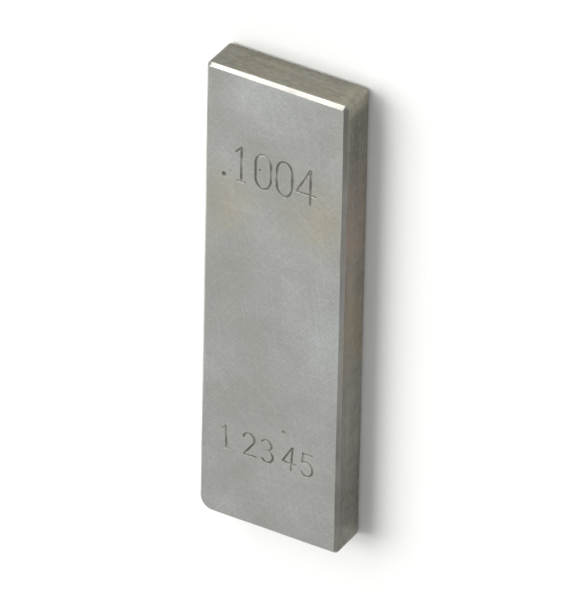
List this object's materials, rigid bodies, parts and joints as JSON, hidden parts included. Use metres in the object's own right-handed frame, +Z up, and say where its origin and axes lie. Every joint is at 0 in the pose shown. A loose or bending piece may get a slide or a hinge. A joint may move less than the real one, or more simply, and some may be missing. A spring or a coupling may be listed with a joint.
{
  "type": "gauge block",
  "caption": "Thin rectangular steel gauge block with lapped gauging faces, finely broken edges and a worn foot corner, a length standard that wrings to others of its kind.",
  "frame": {"origin": "middle of the plain gauging face that the block lies on", "axes": "+Z up out of the marked gauging face, +Y along the block's long side towards the head of its mark, +X across the width"},
  "size_m": [0.009, 0.03, 0.0026],
  "materials": {
    "gauge_steel": "hardened tool steel, satin lapped on the gauging faces and ground on the sides and ends"
  },
  "bodies": {
    "root": {"gauge_block": "gauge_steel"}
  },
  "joints": []
}
